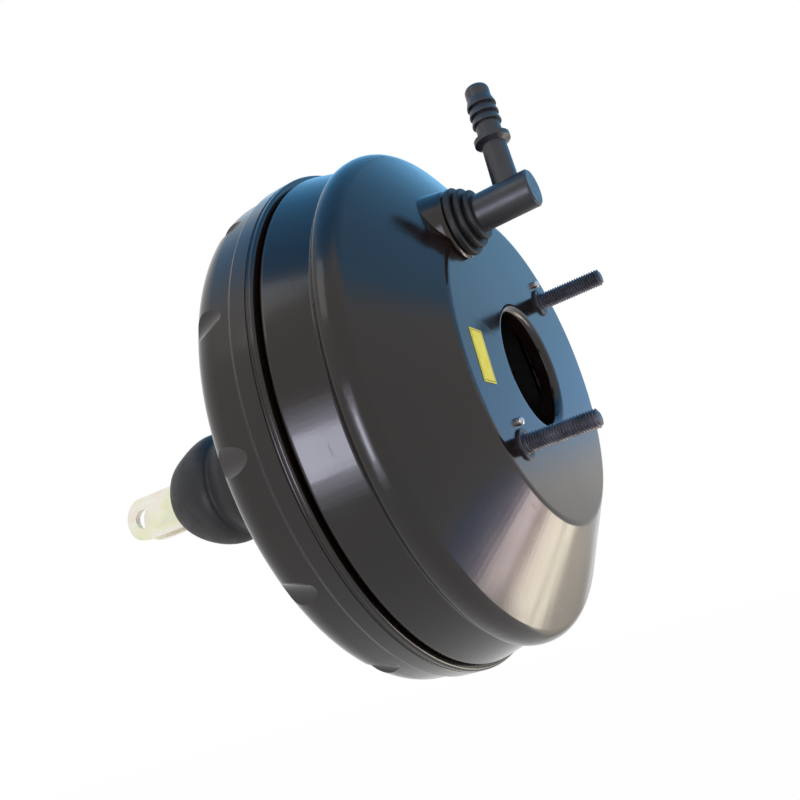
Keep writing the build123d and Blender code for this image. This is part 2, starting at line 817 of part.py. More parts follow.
def make_control_valve():
    bottom = ball_x + ball_radius + ball_gap
    groove_rear_x = key_x - valve_travel - key_clearance
    groove_front_x = key_x + key_thickness + key_clearance
    with BuildPart() as control_plunger:
        with BuildSketch(Plane.XZ):
            with BuildLine():
                Polyline(
                    (plunger_rear_x, 0),
                    (plunger_rear_x, plunger_flange_radius),
                    (plunger_rear_x + plunger_flange_thickness, plunger_flange_radius),
                    (plunger_rear_x + plunger_flange_thickness, plunger_radius),
                    (plunger_nose_x, plunger_radius),
                    (plunger_nose_x, 0),
                    close=True,
                )
            make_face()
        revolve(axis=Axis.X)
        with BuildSketch(Plane.XZ):
            with BuildLine():
                socket = ball_radius + ball_gap
                mouth_x = plunger_rear_x + plunger_flange_thickness
                wall = Polyline(
                    (ball_x, socket),
                    (mouth_x, socket),
                    (mouth_x, socket_mouth_radius),
                    (plunger_rear_x, socket_mouth_radius),
                )
                Polyline(wall @ 1, (plunger_rear_x, 0), (bottom, 0))
                RadiusArc((bottom, 0), (ball_x, socket), -socket)
            make_face()
        revolve(axis=Axis.X, mode=Mode.SUBTRACT)
        with BuildSketch(Plane.YZ.offset(groove_rear_x)):
            Circle(plunger_flange_radius)
            Circle(plunger_neck_radius, mode=Mode.SUBTRACT)
        extrude(amount=groove_front_x - groove_rear_x, mode=Mode.SUBTRACT)
    control_plunger.part.label = "control_plunger"
    export_step(control_plunger.part, "parts/control_plunger.step")

    tube = poppet_outer_radius - poppet_step
    with BuildPart() as poppet_valve:
        with BuildSketch(Plane.XZ):
            with BuildLine():
                Polyline(
                    (poppet_front_x, poppet_inner_radius),
                    (poppet_front_x, poppet_outer_radius),
                    (poppet_front_x - poppet_thickness, poppet_outer_radius),
                    (poppet_front_x - poppet_thickness - poppet_step_run, tube),
                    (poppet_rear_x + poppet_flange_thickness, tube),
                    (poppet_rear_x + poppet_flange_thickness, body_bore),
                    (poppet_rear_x, body_bore),
                    (poppet_rear_x, tube - poppet_wall),
                    (poppet_front_x - poppet_thickness, tube - poppet_wall),
                    (poppet_front_x - poppet_thickness, poppet_inner_radius),
                    close=True,
                )
            make_face()
        revolve(axis=Axis.X)
    poppet_valve.part.label = "poppet_valve"
    export_step(poppet_valve.part, "parts/poppet_valve.step")

    with BuildPart() as poppet_retainer:
        with BuildSketch(Plane.YZ.offset(retainer_front_x)):
            Circle(body_bore - retainer_gap)
            Circle(retainer_flange_radius, mode=Mode.SUBTRACT)
        extrude(amount=-retainer_wall)
        with BuildSketch(Plane.YZ.offset(retainer_front_x)):
            Circle(body_bore - retainer_gap)
            Circle(body_bore - retainer_gap - retainer_wall, mode=Mode.SUBTRACT)
        extrude(amount=-retainer_length)
    poppet_retainer.part.label = "poppet_retainer"
    export_step(poppet_retainer.part, "parts/poppet_retainer.step")

    with BuildPart() as air_filter:
        with BuildSketch(Plane.YZ.offset(filter_rear_x)):
            Circle(body_bore - retainer_gap)
            Circle(filter_bore, mode=Mode.SUBTRACT)
        extrude(amount=filter_front_x - filter_rear_x)
    air_filter.part.label = "air_filter"
    export_step(air_filter.part, "parts/air_filter.step")


def make_input_rod():
    shoulder_front = rod_seat_x - rod_washer_thickness
    with BuildPart() as input_rod:
        with BuildSketch(Plane.XZ):
            with BuildLine():
                neck_x = ball_x - math.sqrt(ball_radius**2 - rod_neck_radius**2)
                rod_x = ball_x - rod_neck_length
                ThreePointArc((ball_x + ball_radius, 0), (ball_x, ball_radius), (neck_x, rod_neck_radius))
                Polyline(
                    (neck_x, rod_neck_radius),
                    (rod_x, rod_neck_radius),
                    (rod_x - rod_taper_run, rod_radius),
                    (shoulder_front, rod_radius),
                    (shoulder_front, rod_shoulder_radius),
                    (shoulder_front - rod_shoulder_length, rod_shoulder_radius),
                    (shoulder_front - rod_shoulder_length, rod_radius),
                    (rod_thread_x, rod_radius),
                    (rod_thread_x, rod_thread_radius),
                    (rod_end_x + stud_tip_chamfer, rod_thread_radius),
                    (rod_end_x, rod_thread_radius - stud_tip_chamfer),
                    (rod_end_x, 0),
                    (ball_x + ball_radius, 0),
                )
            make_face()
        revolve(axis=Axis.X)
    input_rod.part.label = "input_rod"
    export_step(input_rod.part, "parts/input_rod.step")

    with BuildPart() as rod_spring_washer:
        with BuildSketch(Plane.YZ.offset(rod_seat_x)):
            Circle(rod_washer_radius)
            Circle(rod_radius + running_gap, mode=Mode.SUBTRACT)
        extrude(amount=-rod_washer_thickness)
    rod_spring_washer.part.label = "rod_spring_washer"
    export_step(rod_spring_washer.part, "parts/rod_spring_washer.step")

    nut_rear_x = clevis_base_x + running_gap
    with BuildPart() as lock_nut:
        with BuildSketch(Plane.YZ.offset(nut_rear_x)):
            RegularPolygon(nut_across_flats / 2, 6, major_radius=False)
            Circle(rod_thread_radius + running_gap, mode=Mode.SUBTRACT)
        extrude(amount=nut_height)
        outer = lock_nut.edges().filter_by(GeomType.LINE).filter_by(Axis.X, reverse=True)
        chamfer(outer, nut_chamfer)
    lock_nut.part.label = "lock_nut"
    export_step(lock_nut.part, "parts/lock_nut.step")


def make_clevis():
    half = clevis_gap / 2 + clevis_sheet
    ear_round = clevis_width / 2
    tip_x = clevis_hole_x - ear_round
    with BuildPart() as clevis:
        with BuildSketch(Plane.XY.offset(-clevis_width / 2)):
            with BuildLine():
                FilletPolyline(
                    (tip_x, half), (clevis_base_x, half), (clevis_base_x, -half), (tip_x, -half),
                    radius=clevis_bend_round + clevis_sheet,
                )
                offset(amount=clevis_sheet, side=Side.RIGHT, closed=True)
            make_face()
        extrude(amount=clevis_width)
        with BuildSketch(Plane.XZ.offset(-half)):
            with BuildLine():
                Polyline(
                    (clevis_hole_x, clevis_width / 2), (clevis_base_x, clevis_width / 2),
                    (clevis_base_x, -clevis_width / 2), (clevis_hole_x, -clevis_width / 2),
                )
                RadiusArc((clevis_hole_x, -clevis_width / 2), (clevis_hole_x, clevis_width / 2), ear_round)
            make_face()
            with Locations((clevis_hole_x, 0)):
                Circle(clevis_hole_radius, mode=Mode.SUBTRACT)
        extrude(amount=2 * half, mode=Mode.INTERSECT)
        with BuildSketch(Plane.YZ.offset(clevis_base_x)):
            Circle(rod_thread_radius + running_gap)
        extrude(amount=-2 * clevis_sheet, mode=Mode.SUBTRACT)
    clevis.part.label = "clevis"
    export_step(clevis.part, "parts/clevis.step")


def make_output_side():
    disc_x = recess_floor_x + running_gap
    with BuildPart() as reaction_disc:
        with BuildSketch(Plane.YZ.offset(disc_x)):
            Circle(reaction_disc_radius)
        extrude(amount=reaction_disc_thickness - running_gap)
    reaction_disc.part.label = "reaction_disc"
    export_step(reaction_disc.part, "parts/reaction_disc.step")

    with BuildPart() as output_rod:
        with BuildSketch(Plane.YZ.offset(disc_front_x)):
            Circle(output_cup_radius)
        extrude(amount=output_cup_thickness)
        with BuildSketch(Plane.YZ.offset(disc_front_x)):
            Circle(output_rod_radius)
        extrude(amount=output_rod_end_x - disc_front_x)
        chamfer(output_rod.faces().sort_by(Axis.X)[-1].edges(), stud_tip_chamfer)
        with BuildSketch(Plane.YZ.offset(output_rod_end_x)):
            Circle(output_screw_radius + running_gap)
        extrude(amount=-output_screw_engagement, mode=Mode.SUBTRACT)
    output_rod.part.label = "output_rod"
    export_step(output_rod.part, "parts/output_rod.step")

    with BuildPart() as output_rod_screw:
        with BuildSketch(Plane.YZ.offset(output_rod_end_x - output_screw_engagement + running_gap)):
            Circle(output_screw_radius)
        extrude(amount=output_screw_engagement)
        with BuildSketch(Plane.YZ.offset(output_rod_end_x + running_gap)):
            RegularPolygon(output_screw_flats / 2, 6, major_radius=False)
        extrude(amount=output_screw_head)
        with BuildSketch(Plane.YZ.offset(output_rod_end_x + output_screw_head)):
            Circle(output_screw_radius)
        extrude(amount=output_tip_x - output_rod_end_x - output_screw_head)
        fillet(output_rod_screw.faces().sort_by(Axis.X)[-1].edges(), output_tip_round)
    output_rod_screw.part.label = "output_rod_screw"
    export_step(output_rod_screw.part, "parts/output_rod_screw.step")


def make_springs():
    return_spring = coil(
        return_spring_radius, return_spring_wire, return_spring_turns,
        spring_rear_x + seat_gap, stud_plate_rear_x - seat_gap,
    )
    return_spring.part.label = "return_spring"
    export_step(return_spring.part, "parts/return_spring.step")

    poppet_spring = coil(
        poppet_spring_radius, poppet_spring_wire, poppet_spring_turns,
        retainer_front_x + seat_gap, poppet_front_x - poppet_thickness - seat_gap,
    )
    poppet_spring.part.label = "poppet_spring"
    export_step(poppet_spring.part, "parts/poppet_spring.step")

    rod_return_spring = coil(
        rod_spring_radius, rod_spring_wire, rod_spring_turns,
        rod_seat_x + seat_gap, retainer_face_x - seat_gap,
    )
    rod_return_spring.part.label = "rod_return_spring"
    export_step(rod_return_spring.part, "parts/rod_return_spring.step")


def make_label():
    centre_y = label_distance * math.cos(math.radians(label_angle))
    centre_z = label_distance * math.sin(math.radians(label_angle))
    with BuildPart() as face_label:
        with BuildSketch(Plane.YZ.offset(face_x)):
            with Locations((centre_y, centre_z)):
                Rectangle(label_width, label_length)
        extrude(amount=label_thickness)
    face_label.part.label = "face_label"
    export_step(face_label.part, "parts/face_label.step")


make_front_shell()
make_rear_shell()
make_studs()
make_neck_parts()
make_check_valve(make_grommet())
make_boot()
make_valve_body()
make_plate_and_diaphragm()
make_control_valve()
make_input_rod()
make_clevis()
make_output_side()
make_springs()
make_label()
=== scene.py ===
import math

import bmesh
import bpy
import numpy as np
from mathutils import Matrix, Vector


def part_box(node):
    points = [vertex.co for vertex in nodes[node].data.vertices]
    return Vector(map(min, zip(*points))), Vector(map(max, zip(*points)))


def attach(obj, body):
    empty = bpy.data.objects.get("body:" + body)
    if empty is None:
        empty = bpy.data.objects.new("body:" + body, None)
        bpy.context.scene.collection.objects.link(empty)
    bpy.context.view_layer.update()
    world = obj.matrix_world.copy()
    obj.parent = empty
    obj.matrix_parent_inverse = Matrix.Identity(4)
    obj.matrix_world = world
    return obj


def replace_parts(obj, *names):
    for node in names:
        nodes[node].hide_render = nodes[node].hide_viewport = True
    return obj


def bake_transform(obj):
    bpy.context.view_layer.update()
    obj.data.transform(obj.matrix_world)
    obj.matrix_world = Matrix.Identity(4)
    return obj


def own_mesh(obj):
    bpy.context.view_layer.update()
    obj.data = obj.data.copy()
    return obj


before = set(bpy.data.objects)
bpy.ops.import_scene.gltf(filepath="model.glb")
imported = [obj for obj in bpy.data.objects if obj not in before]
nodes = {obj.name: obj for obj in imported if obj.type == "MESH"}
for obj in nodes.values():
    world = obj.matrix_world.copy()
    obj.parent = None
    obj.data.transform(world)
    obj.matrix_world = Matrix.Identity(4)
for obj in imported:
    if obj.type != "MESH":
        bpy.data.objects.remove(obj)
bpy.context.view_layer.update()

# Looks of the brake booster: paint, rubber, plated steel, threads and the folded boot.
# Everything is in metres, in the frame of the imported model.

# Places of the studs, as the solids have them.
face_x = 0.106
ring_thickness = 0.0012
front_stud_circle = 0.054
rear_stud_offset = 0.0375


# Material helpers

class Mat:
    """One procedural material with short calls for the nodes that it needs."""

    def __init__(self, name, **sockets):
        self.mat = bpy.data.materials.new(name)
        self.mat.use_nodes = True
        self.tree = self.mat.node_tree
        self.bsdf = self.tree.nodes["Principled BSDF"]
        self.coords = self.new("ShaderNodeTexCoord").outputs["Object"]
        for key, value in sockets.items():
            self.bsdf.inputs[key.replace("_", " ")].default_value = value

    def new(self, kind):
        return self.tree.nodes.new(kind)

    def link(self, a, b):
        self.tree.links.new(a, b)

    def scaled(self, scale, source=None):
        node = self.new("ShaderNodeMapping")
        node.inputs["Scale"].default_value = scale
        self.link(source or self.coords, node.inputs["Vector"])
        return node.outputs["Vector"]

    def around(self, radius):
        """Coordinates unrolled about the booster's axis: along and around, in metres."""
        split = self.new("ShaderNodeSeparateXYZ")
        self.link(self.coords, split.inputs[0])
        turn = self.math("ARCTAN2", split.outputs["Z"], split.outputs["Y"])
        arc = self.math("MULTIPLY", turn, radius)
        join = self.new("ShaderNodeCombineXYZ")
        self.link(split.outputs["X"], join.inputs["X"])
        self.link(arc, join.inputs["Y"])
        return join.outputs[0]

    def math(self, operation, a, b=0.0):
        node = self.new("ShaderNodeMath")
        node.operation = operation
        for socket, value in zip(node.inputs, (a, b)):
            if isinstance(value, (int, float)):
                socket.default_value = value
            else:
                self.link(value, socket)
        return node.outputs[0]

    def noise(self, scale, detail=3.0, rough=0.5, vector=None):
        node = self.new("ShaderNodeTexNoise")
        node.inputs["Scale"].default_value = scale
        node.inputs["Detail"].default_value = detail
        node.inputs["Roughness"].default_value = rough
        self.link(vector or self.coords, node.inputs["Vector"])
        return node.outputs["Fac"]

    def ramp(self, fac, *stops):
        node = self.new("ShaderNodeValToRGB")
        band = node.color_ramp
        while len(band.elements) < len(stops):
            band.elements.new(0.5)
        for element, (place, colour) in zip(band.elements, stops):
            element.position = place
            element.color = (*colour, 1.0) if len(colour) == 3 else colour
        self.link(fac, node.inputs["Fac"])
        return node.outputs["Color"]

    def span(self, fac, low, high, start=0.0, end=1.0):
        node = self.new("ShaderNodeMapRange")
        for key, value in (("From Min", start), ("From Max", end), ("To Min", low), ("To Max", high)):
            node.inputs[key].default_value = value
        self.link(fac, node.inputs["Value"])
        return node.outputs["Result"]

    def mix(self, fac, a, b):
        node = self.new("ShaderNodeMix")
        node.data_type = "RGBA"
        for socket, value in ((node.inputs[0], fac), (node.inputs[6], a), (node.inputs[7], b)):
            if isinstance(value, (int, float)):
                socket.default_value = value
            elif isinstance(value, tuple):
                socket.default_value = (*value, 1.0)
            else:
                self.link(value, socket)
        return node.outputs[2]

    def bump(self, *layers):
        """Stacks (height, distance, strength) layers onto the shader's normal."""
        normal = None
        for height, distance, strength in layers:
            node = self.new("ShaderNodeBump")
            node.inputs["Distance"].default_value = distance
            node.inputs["Strength"].default_value = strength
            self.link(height, node.inputs["Height"])
            if normal:
                self.link(normal, node.inputs["Normal"])
            normal = node.outputs["Normal"]
        self.link(normal, self.bsdf.inputs["Normal"])

    def set(self, name, socket):
        self.link(socket, self.bsdf.inputs[name])

    def glow_where(self, mask, tint, strength):
        """Light of the tint where the mask is 1, and clear where it is 0."""
        glow = self.new("ShaderNodeEmission")
        self.link(tint, glow.inputs["Color"])
        glow.inputs["Strength"].default_value = strength
        clear = self.new("ShaderNodeBsdfTransparent")
        self.blend_shaders(mask, clear, glow)

    def blend_shaders(self, fac, a, b):
        mixer = self.new("ShaderNodeMixShader")
        self.link(fac, mixer.inputs[0])
        self.link(a.outputs[0], mixer.inputs[1])
        self.link(b.outputs[0], mixer.inputs[2])
        self.link(mixer.outputs[0], self.tree.nodes["Material Output"].inputs["Surface"])


def paint_material():
    m = Mat("Gloss_Black_Paint", IOR=1.48)
    unrolled = m.around(0.115)
    cloud = m.noise(9.0, 3.0)
    m.set("Base Color", m.ramp(cloud, (0.3, (0.005, 0.003, 0.002)), (0.7, (0.012, 0.006, 0.004))))
    smudge = m.noise(38.0, 5.0, 0.6)
    drawn = m.noise(1.0, 3.0, 0.5, m.scaled((14.0, 260.0, 1.0), unrolled))
    scuffs = m.noise(1.0, 2.0, 0.5, m.scaled((420.0, 35.0, 1.0), unrolled))
    rough = m.math("ADD", m.span(smudge, 0.10, 0.20, 0.3, 0.7), m.span(scuffs, 0.0, 0.10, 0.66, 0.76))
    m.set("Roughness", rough)
    m.bump((m.noise(22.0, 2.0), 0.004, 0.05), (drawn, 0.0006, 0.05), (m.noise(700.0, 2.0), 0.0002, 0.06))
    return m.mat


def rubber_material():
    m = Mat("Moulded_Rubber", IOR=1.42)
    cloud = m.noise(30.0, 4.0, 0.6)
    m.set("Base Color", m.ramp(cloud, (0.3, (0.006, 0.006, 0.007)), (0.7, (0.013, 0.014, 0.016))))
    bloom = m.noise(120.0, 5.0, 0.7)
    m.set("Roughness", m.span(bloom, 0.42, 0.66, 0.3, 0.7))
    m.bump((m.noise(60.0, 3.0), 0.001, 0.12), (m.noise(2600.0, 2.0), 0.0001, 0.25))
    return m.mat


def plastic_material():
    m = Mat("Moulded_Plastic", IOR=1.5)
    cloud = m.noise(60.0, 3.0)
    m.set("Base Color", m.ramp(cloud, (0.3, (0.016, 0.017, 0.024)), (0.7, (0.028, 0.028, 0.036))))
    m.set("Roughness", m.span(m.noise(240.0, 5.0, 0.6), 0.26, 0.42, 0.3, 0.7))
    m.bump((m.noise(90.0, 2.0), 0.0008, 0.08), (m.noise(3200.0, 2.0), 0.00006, 0.2))
    return m.mat


def steel_material(name, dark, light, metallic, rough_low, rough_high):
    m = Mat(name, Metallic=metallic)
    cloud = m.noise(160.0, 5.0, 0.65)
    m.set("Base Color", m.ramp(cloud, (0.32, dark), (0.68, light)))
    m.set("Roughness", m.span(m.noise(420.0, 4.0, 0.6), rough_low, rough_high, 0.3, 0.7))
    m.bump((m.noise(1800.0, 3.0), 0.00008, 0.3))
    return m.mat


def zinc_yellow_material():
    m = Mat("Yellow_Zinc", Metallic=0.6)
    tint = m.noise(52.0, 3.0, 0.5)
    base = m.ramp(
        tint, (0.30, (0.72, 0.78, 0.60)), (0.42, (0.86, 0.84, 0.60)), (0.52, (0.90, 0.88, 0.78)),
        (0.62, (0.90, 0.79, 0.68)), (0.72, (0.80, 0.77, 0.73)),
    )
    grain = m.noise(1.0, 3.0, 0.6, m.scaled((120.0, 1500.0, 1500.0)))
    m.set("Base Color", m.mix(m.span(grain, 0.0, 0.2, 0.45, 0.75), base, (0.62, 0.58, 0.50)))
    m.set("Roughness", m.span(grain, 0.28, 0.46, 0.3, 0.7))
    m.bump((grain, 0.00012, 0.3), (m.noise(300.0, 3.0), 0.0003, 0.1))
    return m.mat


def phenolic_material():
    m = Mat("Moulded_Phenolic", IOR=1.5)
    flecks = m.noise(700.0, 4.0, 0.7)
    m.set("Base Color", m.ramp(flecks, (0.35, (0.020, 0.015, 0.013)), (0.65, (0.060, 0.045, 0.038))))
    m.set("Roughness", m.span(flecks, 0.45, 0.65, 0.3, 0.7))
    m.bump((m.noise(1400.0, 3.0), 0.0001, 0.25))
    return m.mat


def felt_material():
    m = Mat("Filter_Felt")
    fibre = m.noise(1.0, 5.0, 0.7, m.scaled((900.0, 900.0, 2600.0)))
    m.set("Base Color", m.ramp(fibre, (0.3, (0.09, 0.09, 0.09)), (0.7, (0.24, 0.23, 0.22))))
    m.set("Roughness", m.span(fibre, 0.8, 1.0))
    m.bump((fibre, 0.0006, 0.6))
    return m.mat


def label_material():
    """Yellow film with a fine dark border, and nothing written on it."""
    border_from, border_to = 0.0005, 0.0009
    low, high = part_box("face_label")
    centre, half = (low + high) / 2, (high - low) / 2
    m = Mat("Label_Film", IOR=1.3)
    split = m.new("ShaderNodeSeparateXYZ")
    m.link(m.coords, split.inputs[0])
    across = m.math("SUBTRACT", half.y, m.math("ABSOLUTE", m.math("SUBTRACT", split.outputs["Y"], centre.y)))
    along = m.math("SUBTRACT", half.z, m.math("ABSOLUTE", m.math("SUBTRACT", split.outputs["Z"], centre.z)))
    inset = m.math("MINIMUM", across, along)
    border = m.math("MULTIPLY", m.math("GREATER_THAN", inset, border_from),
                    m.math("LESS_THAN", inset, border_to))
    film = m.ramp(m.noise(260.0, 3.0), (0.3, (0.88, 0.76, 0.05)), (0.7, (0.94, 0.86, 0.13)))
    m.set("Base Color", m.mix(m.math("MULTIPLY", border, 0.8), film, (0.10, 0.085, 0.02)))
    m.set("Roughness", m.span(m.noise(500.0, 3.0), 0.5, 0.65, 0.3, 0.7))
    m.bump((m.noise(180.0, 2.0), 0.0002, 0.15))
    return m.mat


def dress(names, material):
    for name in names:
        mesh = nodes[name].data
        mesh.materials.clear()
        mesh.materials.append(material)


# Piece helpers

def piece(name, verts, faces, material, body, smooth=True):
    mesh = bpy.data.meshes.new(name)
    mesh.from_pydata(verts, [], faces)
    mesh.materials.append(material)
    bm = bmesh.new()
    bm.from_mesh(mesh)
    bmesh.ops.recalc_face_normals(bm, faces=bm.faces)
    bm.to_mesh(mesh)
    bm.free()
    mesh.polygons.foreach_set("use_smooth", [smooth] * len(mesh.polygons))
    obj = bpy.data.objects.new(name, mesh)
    bpy.context.scene.collection.objects.link(obj)
    if body:
        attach(obj, body)
    return obj


def ring_grid(rings, count, closed_loop=False, start=0):
    """Faces that join rings of count vertices each, one after another."""
    faces = []
    last = rings if closed_loop else rings - 1
    for i in range(last):
        a, b = start + i * count, start + ((i + 1) % rings) * count
        for k in range(count):
            n = (k + 1) % count
            faces.append((a + k, a + n, b + n, b + k))
    return faces


def threaded_studs(name, places, head_x, head_tip_x, thread_x, tip_x, material, node):
    """Studs with a real helical ridge, a plain shank, a shoulder and a hexagon head inside the shell."""
    pitch, crest, shoulder, depth = 0.00125, 0.004, 0.0045, 0.00068
    tip_taper, head_radius, tuck = 0.0009, 0.0074, 0.0002
    count, steps_per_turn = 36, 8
    way = 1 if tip_x > head_x else -1
    length = abs(tip_x - head_tip_x)
    steps = int(length / pitch * steps_per_turn)
    verts, faces = [], []
    for y0, z0 in places:
        start = len(verts)
        for i in range(steps + 1):
            run = length * i / steps
            x = head_tip_x + way * run
            cut = min(1.0, max(0.0, (run - abs(thread_x - head_tip_x)) / (2 * pitch)))
            tip = max(0.0, 1 - (length - run) / tip_taper)
            for k in range(count):
                turn = 2 * math.pi * k / count
                wave = abs(((run / pitch - k / count) % 1.0) * 2 - 1)
                flank = 1 - min(1.0, max(0.0, wave * 1.3 - 0.15))
                radius = crest - depth * cut * flank - tip_taper * tip
                verts.append((x, y0 + radius * math.cos(turn), z0 + radius * math.sin(turn)))
        faces += ring_grid(steps + 1, count, start=start)
        faces.append(tuple(start + steps * count + k for k in range(count)))
        faces.append(tuple(start + k for k in reversed(range(count))))
        collar = len(verts)
        for x, radius in ((head_tip_x, shoulder), (thread_x, shoulder), (thread_x, crest - tuck)):
            for k in range(count):
                turn = 2 * math.pi * k / count
                verts.append((x, y0 + radius * math.cos(turn), z0 + radius * math.sin(turn)))
        faces += ring_grid(3, count, start=collar)
        head = len(verts)
        for x in (head_x, head_tip_x):
            for k in range(6):
                turn = math.pi * (2 * k + 1) / 6
                verts.append((x, y0 + head_radius * math.cos(turn), z0 + head_radius * math.sin(turn)))
        faces += ring_grid(2, 6, start=head)
        faces += [tuple(head + k for k in range(6)), tuple(head + 11 - k for k in range(6))]
    obj = piece(name, verts, faces, material, "root")
    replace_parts(obj, node)


def smooth_line(points, steps):
    """A Catmull-Rom line through the points."""
    pts = [np.array(p, float) for p in points]
    pts = [2 * pts[0] - pts[1]] + pts + [2 * pts[-1] - pts[-2]]
    line = []
    for a, b, c, d in zip(pts, pts[1:], pts[2:], pts[3:]):
        for i in range(steps):
            t = i / steps
            bend, twist = 2 * a - 5 * b + 4 * c - d, 3 * b - a - 3 * c + d
            line.append(0.5 * (2 * b + (c - a) * t + bend * t * t + twist * t**3))
    return line + [pts[-2]]


def make_boot(material):
    """The rubber boot: a domed end tight round the push rod, folds, and a cuff over the neck."""
    low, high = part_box("boot")
    front, rear, reach = high.x, low.x, (high.y - low.y) / 2
    cuff, wall, sag_depth = 0.0271, 0.0016, 0.00022
    sag_start, sag_run = 0.016, 0.02
    outer = [
        (rear - 0.0008, 0.0150), (rear - 0.0012, 0.0168), (rear - 0.0002, 0.0192), (rear + 0.0030, 0.0220),
        (rear + 0.0080, 0.0248), (rear + 0.0150, 0.0274), (rear + 0.0215, 0.0288), (rear + 0.0262, 0.0289),
        (rear + 0.0292, 0.0278), (rear + 0.0312, 0.0262), (rear + 0.0336, 0.0266), (rear + 0.0385, 0.0285),
        (rear + 0.0425, reach - 0.0002), (rear + 0.0462, 0.0286), (rear + 0.0490, 0.0268),
        (rear + 0.0510, 0.0260), (rear + 0.0532, 0.0269), (rear + 0.0565, 0.0286), (rear + 0.0600, 0.0290),
        (rear + 0.0632, 0.0280), (rear + 0.0658, 0.0266), (rear + 0.0680, 0.0262), (rear + 0.0705, 0.0270),
        (rear + 0.0722, 0.0272), (rear + 0.0740, cuff), (rear + 0.0820, cuff), (front - 0.0010, cuff),
        (front - 0.0002, cuff - 0.0006),
    ]
    line = smooth_line(outer, 5)
    inner = []
    for i, point in enumerate(line):
        before, after = line[max(0, i - 1)], line[min(len(line) - 1, i + 1)]
        way = (after - before) / np.linalg.norm(after - before)
        inner.append(point + np.array([way[1], -way[0]]) * wall)
    loop = [*line, *reversed(inner)]
    count = 128
    verts = []
    for x, r in loop:
        free = min(1.0, max(0.0, (front - sag_start - x) / sag_run))
        for k in range(count):
            turn = 2 * math.pi * k / count
            sag = sag_depth * free * (math.sin(3 * turn + x * 160) + 0.6 * math.sin(5 * turn - x * 230))
            radius = min(r + sag, reach)
            verts.append((x, radius * math.cos(turn), radius * math.sin(turn)))
    obj = piece("Boot_Bellows", verts, ring_grid(len(loop), count, closed_loop=True), material, "root")
    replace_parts(obj, "boot")
    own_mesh(obj)


def soft_copy(name, node, body):
    """A copy of a soft solid, in place of the rigid one."""
    obj = bpy.data.objects.new(name, nodes[node].data.copy())
    bpy.context.scene.collection.objects.link(obj)
    if body:
        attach(obj, body)
    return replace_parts(obj, node)


def squeezed(name, node, body):
    """A copy of a coil with a mesh of its own, in place of the rigid one."""
    obj = soft_copy(name, node, body)
    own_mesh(obj)


# Materials on the solids

paint = paint_material()
rubber = rubber_material()
plastic = plastic_material()
dark_steel = steel_material("Phosphated_Steel", (0.030, 0.030, 0.040), (0.10, 0.10, 0.125), 0.7, 0.34, 0.55)
zinc = steel_material("Zinc_Plate", (0.42, 0.42, 0.43), (0.62, 0.62, 0.62), 0.9, 0.28, 0.45)
wire = steel_material("Spring_Wire", (0.05, 0.05, 0.055), (0.12, 0.12, 0.125), 0.8, 0.3, 0.5)

dress(["front_shell", "rear_shell"], paint)
dress(["stud_rings", "output_rod", "output_rod_screw", "input_rod", "control_plunger"], dark_steel)
dress(["master_cylinder_studs", "bulkhead_studs"], dark_steel)
dress(["stud_plate", "diaphragm_plate", "spring_seat", "poppet_retainer", "rod_spring_washer", "neck_ring",
       "lock_nut", "valve_key", "face_pips"], zinc)
dress(["return_spring", "poppet_spring", "rod_return_spring", "check_valve_spring"], wire)
dress(["boot", "check_valve_grommet", "diaphragm", "neck_seal"], rubber)
dress(["poppet_valve", "reaction_disc", "check_valve_disc"], rubber)
dress(["check_valve_body", "check_valve_seat", "guide_bush"], plastic)
dress(["valve_body"], phenolic_material())
dress(["clevis"], zinc_yellow_material())
dress(["air_filter"], felt_material())
dress(["face_label"], label_material())

# Pieces that stand for solids

diagonal = front_stud_circle * math.sqrt(0.5)
front_places = [(diagonal, diagonal), (-diagonal, -diagonal)]
threaded_studs("Front_Studs", front_places, face_x - 0.007, face_x - 0.004, face_x + ring_thickness, 0.138,
               dark_steel, "master_cylinder_studs")
rear_places = [(y * rear_stud_offset, z * rear_stud_offset) for y in (-1, 1) for z in (-1, 1)]
threaded_studs("Bulkhead_Studs", rear_places, 0.005, 0.002, 0.0, -0.021, dark_steel, "bulkhead_studs")
make_boot(rubber)
squeezed("Return_Coil", "return_spring", "power_piston")
squeezed("Rod_Coil", "rod_return_spring", "power_piston")
squeezed("Check_Coil", "check_valve_spring", "check_valve")

# The diaphragm is a copy of the rigid solid, with its place baked into the mesh.
rolling = soft_copy("Rolling_Diaphragm", "diaphragm", None)
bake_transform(rolling)


# Stage, light and camera

def floor_material():
    """Pale all over to the eye and to reflections, with a little of the shadow left to see."""
    glow_share = 0.97
    m = Mat("Pale_Floor", Roughness=0.8)
    m.set("Base Color", m.ramp(m.noise(3.0, 3.0), (0.3, (0.86, 0.86, 0.86)), (0.7, (0.90, 0.90, 0.90))))
    glow = m.new("ShaderNodeEmission")
    glow.inputs["Strength"].default_value = 1.0
    path = m.new("ShaderNodeLightPath")
    seen = m.math("MAXIMUM", path.outputs["Is Camera Ray"], path.outputs["Is Glossy Ray"])
    seen = m.math("MAXIMUM", seen, path.outputs["Is Transmission Ray"])
    m.blend_shaders(m.math("MULTIPLY", seen, glow_share), m.bsdf, glow)
    return m.mat


def make_floor():
    count, reach, height = 64, 9.0, -0.5
    verts = [(reach * math.cos(2 * math.pi * k / count), reach * math.sin(2 * math.pi * k / count), height)
             for k in range(count)]
    floor = piece("Floor", verts, [tuple(range(count))], floor_material(), None, smooth=False)


